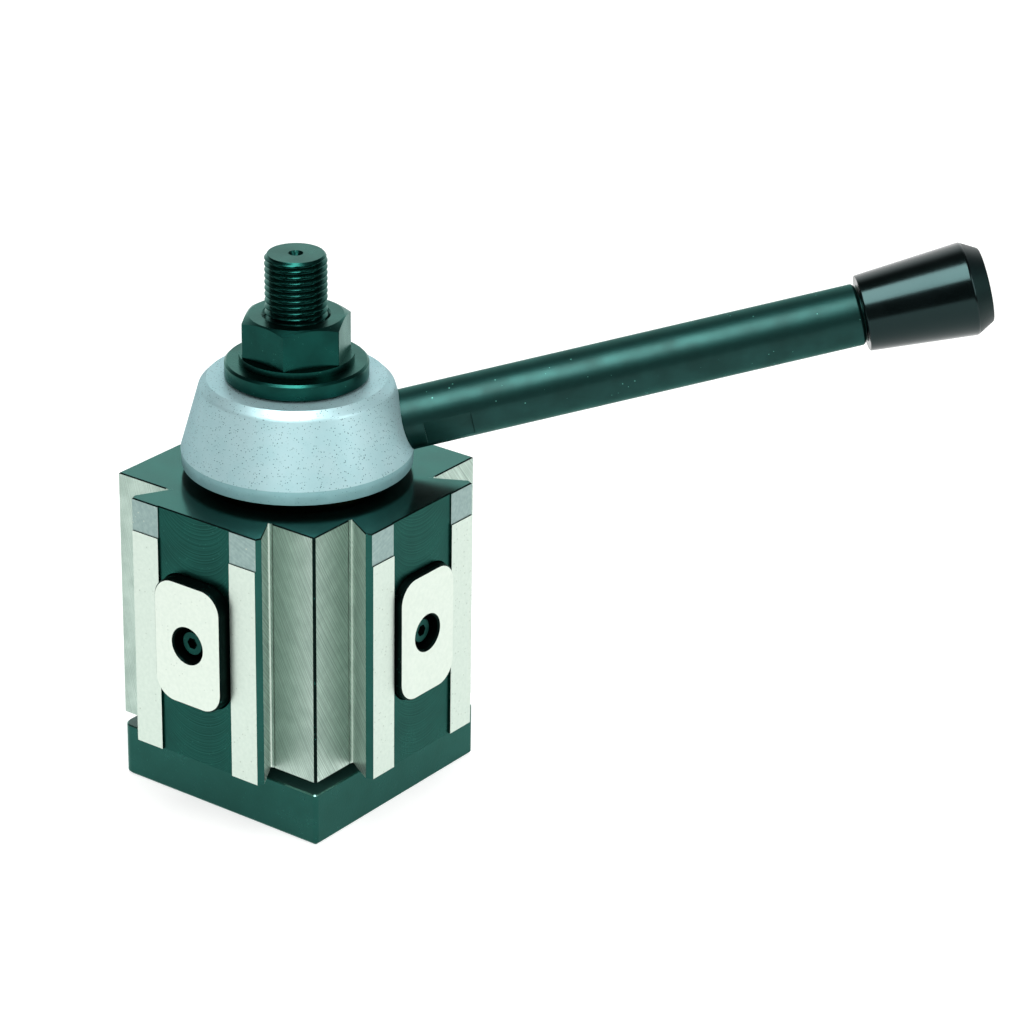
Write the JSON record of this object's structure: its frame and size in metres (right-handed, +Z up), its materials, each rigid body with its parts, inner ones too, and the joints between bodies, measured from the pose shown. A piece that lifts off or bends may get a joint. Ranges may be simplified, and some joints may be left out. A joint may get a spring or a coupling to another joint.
{
  "type": "lathe tool post",
  "caption": "Quick-change lathe tool post with two male dovetail faces, spring-returned clamp pads, a lever that turns a cam hub, and a stud with a collar nut.",
  "frame": {"origin": "stud axis at the underside of the base", "axes": "+Z up along the stud, -Y out of the left dovetail face, +X out of the right dovetail face"},
  "size_m": [0.1502, 0.1489, 0.1274],
  "materials": {
    "blackened_steel": "black oxide, semi-gloss",
    "ground_steel": "ground",
    "bronze": "turned bearing bronze",
    "satin_alloy": "satin, lightly pitted",
    "seal_rubber": "matte",
    "knob_plastic": "gloss black",
    "insert_brass": "turned",
    "pad_steel": "ground face, blackened sides",
    "spring_steel": "drawn wire"
  },
  "bodies": {
    "post": {"post_body": "blackened_steel", "center_sleeve": "ground_steel", "lower_thrust_washer": "bronze", "upper_thrust_washer": "bronze", "stop_pin": "ground_steel", "return_spring_left": "spring_steel", "return_spring_right": "spring_steel"},
    "handle_hub": {"cam_sleeve": "ground_steel", "hub": "satin_alloy", "hub_dowel_1": "ground_steel", "hub_dowel_2": "ground_steel", "hub_dowel_3": "ground_steel", "neck_seal_ring": "seal_rubber", "handle_bar": "blackened_steel", "handle_knob": "knob_plastic", "knob_insert": "insert_brass"},
    "left_clamp": {"plunger_left": "ground_steel", "clamp_pad_left": "pad_steel", "pad_screw_left": "blackened_steel"},
    "right_clamp": {"plunger_right": "ground_steel", "clamp_pad_right": "pad_steel", "pad_screw_right": "blackened_steel"},
    "stud": {"clamp_stud": "blackened_steel"},
    "washer": {"stud_washer": "blackened_steel"},
    "nut": {"stud_nut": "blackened_steel"}
  },
  "joints": [
    {"name": "handle_turn", "type": "hinge", "parent": "post", "child": "handle_hub", "pos_m": [0, 0, 0.0882], "axis": [0, 0, 1], "range_deg": [-15, 45]},
    {"name": "left_clamp_slide", "type": "slide", "parent": "post", "child": "left_clamp", "axis": [0, -1, 0], "range_m": [-0.00236, 0.00079], "deforming": ["return_spring_left"]},
    {"name": "right_clamp_slide", "type": "slide", "parent": "post", "child": "right_clamp", "axis": [1, 0, 0], "range_m": [-0.00236, 0.00079], "deforming": ["return_spring_right"]},
    {"name": "stud_swivel", "type": "hinge", "parent": "post", "child": "stud", "pos_m": [0, 0, 0.05], "axis": [0, 0, 1], "continuous": true},
    {"name": "washer_lift", "type": "slide", "parent": "stud", "child": "washer", "axis": [0, 0, 1], "range_m": [0, 0.01271]},
    {"name": "nut_turn", "type": "hinge", "parent": "washer", "child": "nut", "pos_m": [0, 0, 0.1077], "axis": [0, 0, 1], "range_deg": [0, 3240]}
  ],
  "couplings": [
    {"joint": "left_clamp_slide", "follows": "handle_turn", "m_per_rad": -0.003},
    {"joint": "right_clamp_slide", "follows": "handle_turn", "m_per_rad": -0.003},
    {"joint": "washer_lift", "follows": "nut_turn", "m_per_rad": 0.00022459}
  ]
}
